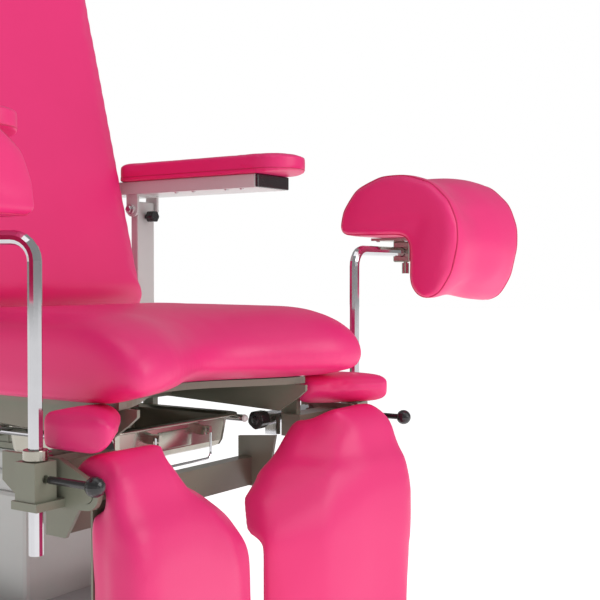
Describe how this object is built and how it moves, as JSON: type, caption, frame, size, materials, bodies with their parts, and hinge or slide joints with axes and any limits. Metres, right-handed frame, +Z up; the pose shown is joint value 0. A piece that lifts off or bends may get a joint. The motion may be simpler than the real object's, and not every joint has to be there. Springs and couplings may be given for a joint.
{
  "type": "examination recliner chair",
  "caption": "Electric patient recliner with split leg rests, padded arm rests, knee crutches and a slide-out drain pan under a notched seat.",
  "frame": {"origin": "middle of the footprint of the whole chair, on the floor", "axes": "+Z up, -Y the way the patient faces, +X to the patient's left"},
  "size_m": [1.31, 1.003, 1.3231],
  "materials": {
    "pink_leatherette": "satin",
    "grey_white_paint": "satin",
    "olive_grey_paint": "satin",
    "chrome": "polished",
    "stainless_steel": "brushed",
    "black_plastic": "gloss",
    "white_plastic": "satin",
    "black_rubber": "matte",
    "grey_case": "matte"
  },
  "bodies": {
    "base": {"base_frame": "grey_white_paint", "base_cover": "grey_case", "foot_front_left": "black_rubber", "foot_front_right": "black_rubber", "foot_rear_left": "black_rubber", "foot_rear_right": "black_rubber", "column_outer": "grey_white_paint", "control_box": "grey_case", "power_inlet": "black_plastic"},
    "column_middle": {"column_middle": "grey_white_paint"},
    "column_top": {"column_inner": "grey_white_paint", "tilt_bracket": "olive_grey_paint"},
    "seat": {"seat_frame": "olive_grey_paint", "seat_board": "olive_grey_paint", "seat_cushion": "pink_leatherette", "front_yoke": "olive_grey_paint", "tilt_actuator": "grey_case", "front_bolster_left": "pink_leatherette", "pan_rail_left": "chrome", "rail_cap_left": "white_plastic", "armrest_post_left": "grey_white_paint", "leg_lock_bar_left": "chrome", "front_bolster_right": "pink_leatherette", "pan_rail_right": "chrome", "rail_cap_right": "white_plastic", "armrest_post_right": "grey_white_paint", "leg_lock_bar_right": "chrome"},
    "tilt_rod": {"tilt_actuator_rod": "chrome"},
    "back_drive": {"back_actuator": "grey_case"},
    "back_rod": {"back_actuator_rod": "chrome"},
    "pan": {"drain_pan": "stainless_steel"},
    "bail": {"pan_bail": "chrome"},
    "back": {"back_cushion": "pink_leatherette", "back_frame": "olive_grey_paint"},
    "armrest_left": {"armrest_bar_left": "grey_white_paint", "armrest_end_cap_left": "black_plastic", "armrest_pad_left": "pink_leatherette"},
    "armrest_knob_left": {"armrest_knob_left": "black_plastic"},
    "crutch_collar_left": {"crutch_collar_left": "stainless_steel"},
    "socket_knob_left": {"socket_knob_left": "black_plastic"},
    "crutch_rod_left": {"crutch_rod_left": "chrome"},
    "crutch_left": {"crutch_clamp_left": "stainless_steel", "crutch_pad_left": "pink_leatherette"},
    "clamp_screw_left": {"clamp_screw_left": "stainless_steel"},
    "leg_rest_left": {"leg_cushion_left": "pink_leatherette", "leg_frame_left": "olive_grey_paint"},
    "leg_knob_left": {"leg_knob_left": "black_plastic"},
    "armrest_right": {"armrest_bar_right": "grey_white_paint", "armrest_end_cap_right": "black_plastic", "armrest_pad_right": "pink_leatherette"},
    "armrest_knob_right": {"armrest_knob_right": "black_plastic"},
    "crutch_collar_right": {"crutch_collar_right": "stainless_steel"},
    "socket_knob_right": {"socket_knob_right": "black_plastic"},
    "crutch_rod_right": {"crutch_rod_right": "chrome"},
    "crutch_right": {"crutch_clamp_right": "stainless_steel", "crutch_pad_right": "pink_leatherette"},
    "clamp_screw_right": {"clamp_screw_right": "stainless_steel"},
    "leg_rest_right": {"leg_cushion_right": "pink_leatherette", "leg_frame_right": "olive_grey_paint"},
    "leg_knob_right": {"leg_knob_right": "black_plastic"}
  },
  "joints": [
    {"name": "lift_lower", "type": "slide", "parent": "base", "child": "column_middle", "axis": [0, 0, 1], "range_m": [0, 0.14]},
    {"name": "lift_upper", "type": "slide", "parent": "column_middle", "child": "column_top", "axis": [0, 0, 1], "range_m": [0, 0.14]},
    {"name": "seat_tilt", "type": "hinge", "parent": "column_top", "child": "seat", "pos_m": [0, 0.1315, 0.445], "axis": [-1, 0, 0], "range_deg": [0, 15]},
    {"name": "back_recline", "type": "hinge", "parent": "seat", "child": "back", "pos_m": [0, 0.1935, 0.555], "axis": [-1, 0, 0], "range_deg": [-4, 74]},
    {"name": "back_drive_swing", "type": "hinge", "parent": "seat", "child": "back_drive", "pos_m": [0.044, -0.0035, 0.505], "axis": [1, 0, 0], "range_deg": [-2, 10]},
    {"name": "back_rod_stroke", "type": "slide", "parent": "back_drive", "child": "back_rod", "axis": [0, -1, 0], "range_m": [-0.006, 0.062]},
    {"name": "tilt_rod_stroke", "type": "slide", "parent": "seat", "child": "tilt_rod", "axis": [0, -1, 0], "range_m": [0, 0.017]},
    {"name": "pan_slide", "type": "slide", "parent": "seat", "child": "pan", "axis": [0, -1, 0], "range_m": [0, 0.2]},
    {"name": "bail_swing", "type": "hinge", "parent": "pan", "child": "bail", "pos_m": [0, -0.223, 0.454], "axis": [-1, 0, 0], "range_deg": [0, 95]},
    {"name": "armrest_fold_left", "type": "hinge", "parent": "seat", "child": "armrest_left", "pos_m": [0.335, 0.1715, 0.842], "axis": [-1, 0, 0], "range_deg": [0, 90]},
    {"name": "armrest_knob_turn_left", "type": "hinge", "parent": "seat", "child": "armrest_knob_left", "pos_m": [0.335, 0.1625, 0.828], "axis": [0, 1, 0], "range_deg": [-180, 0]},
    {"name": "crutch_swivel_left", "type": "hinge", "parent": "seat", "child": "crutch_collar_left", "pos_m": [0.385, -0.3075, 0.4745], "axis": [0, 0, 1], "range_deg": [-20, 70]},
    {"name": "socket_knob_turn_left", "type": "hinge", "parent": "seat", "child": "socket_knob_left", "pos_m": [0.385, -0.3255, 0.4525], "axis": [0, 1, 0], "range_deg": [-180, 0]},
    {"name": "crutch_height_left", "type": "slide", "parent": "crutch_collar_left", "child": "crutch_rod_left", "axis": [0, 0, 1], "range_m": [-0.06, 0]},
    {"name": "crutch_tilt_left", "type": "hinge", "parent": "crutch_rod_left", "child": "crutch_left", "pos_m": [0.582, -0.3075, 0.754], "axis": [-1, 0, 0], "range_deg": [-20, 20]},
    {"name": "clamp_screw_turn_left", "type": "hinge", "parent": "crutch_left", "child": "clamp_screw_left", "pos_m": [0.582, -0.3075, 0.734], "axis": [0, 0, 1], "range_deg": [-180, 0]},
    {"name": "leg_rest_lift_left", "type": "hinge", "parent": "seat", "child": "leg_rest_left", "pos_m": [0.28, -0.3685, 0.433], "axis": [-1, 0, 0], "range_deg": [0, 75]},
    {"name": "leg_knob_turn_left", "type": "hinge", "parent": "seat", "child": "leg_knob_left", "pos_m": [0.2, -0.2305, 0.456], "axis": [1, 0, 0], "range_deg": [-180, 0]},
    {"name": "armrest_fold_right", "type": "hinge", "parent": "seat", "child": "armrest_right", "pos_m": [-0.335, 0.1715, 0.842], "axis": [-1, 0, 0], "range_deg": [0, 90]},
    {"name": "armrest_knob_turn_right", "type": "hinge", "parent": "seat", "child": "armrest_knob_right", "pos_m": [-0.335, 0.1625, 0.828], "axis": [0, 1, 0], "range_deg": [-180, 0]},
    {"name": "crutch_swivel_right", "type": "hinge", "parent": "seat", "child": "crutch_collar_right", "pos_m": [-0.385, -0.3075, 0.4745], "axis": [0, 0, -1], "range_deg": [-72, 0]},
    {"name": "socket_knob_turn_right", "type": "hinge", "parent": "seat", "child": "socket_knob_right", "pos_m": [-0.385, -0.3255, 0.4525], "axis": [0, 1, 0], "range_deg": [-180, 0]},
    {"name": "crutch_height_right", "type": "slide", "parent": "crutch_collar_right", "child": "crutch_rod_right", "axis": [0, 0, 1], "range_m": [-0.06, 0]},
    {"name": "crutch_tilt_right", "type": "hinge", "parent": "crutch_rod_right", "child": "crutch_right", "pos_m": [-0.45011, -0.12157, 0.754], "axis": [-0.3305, 0.9438, 0], "range_deg": [-20, 20]},
    {"name": "clamp_screw_turn_right", "type": "hinge", "parent": "crutch_right", "child": "clamp_screw_right", "pos_m": [-0.45011, -0.12157, 0.734], "axis": [0, 0, 1], "range_deg": [-180, 0]},
    {"name": "leg_rest_lift_right", "type": "hinge", "parent": "seat", "child": "leg_rest_right", "pos_m": [-0.28, -0.3685, 0.433], "axis": [-1, 0, 0], "range_deg": [0, 75]},
    {"name": "leg_knob_turn_right", "type": "hinge", "parent": "seat", "child": "leg_knob_right", "pos_m": [-0.2, -0.2305, 0.456], "axis": [1, 0, 0], "range_deg": [-180, 0]}
  ],
  "couplings": [
    {"joint": "lift_upper", "follows": "lift_lower", "ratio": 1},
    {"joint": "back_drive_swing", "follows": "back_recline", "ratio": 0.118},
    {"joint": "back_rod_stroke", "follows": "back_recline", "m_per_rad": 0.0435},
    {"joint": "tilt_rod_stroke", "follows": "seat_tilt", "m_per_rad": 0.06}
  ]
}
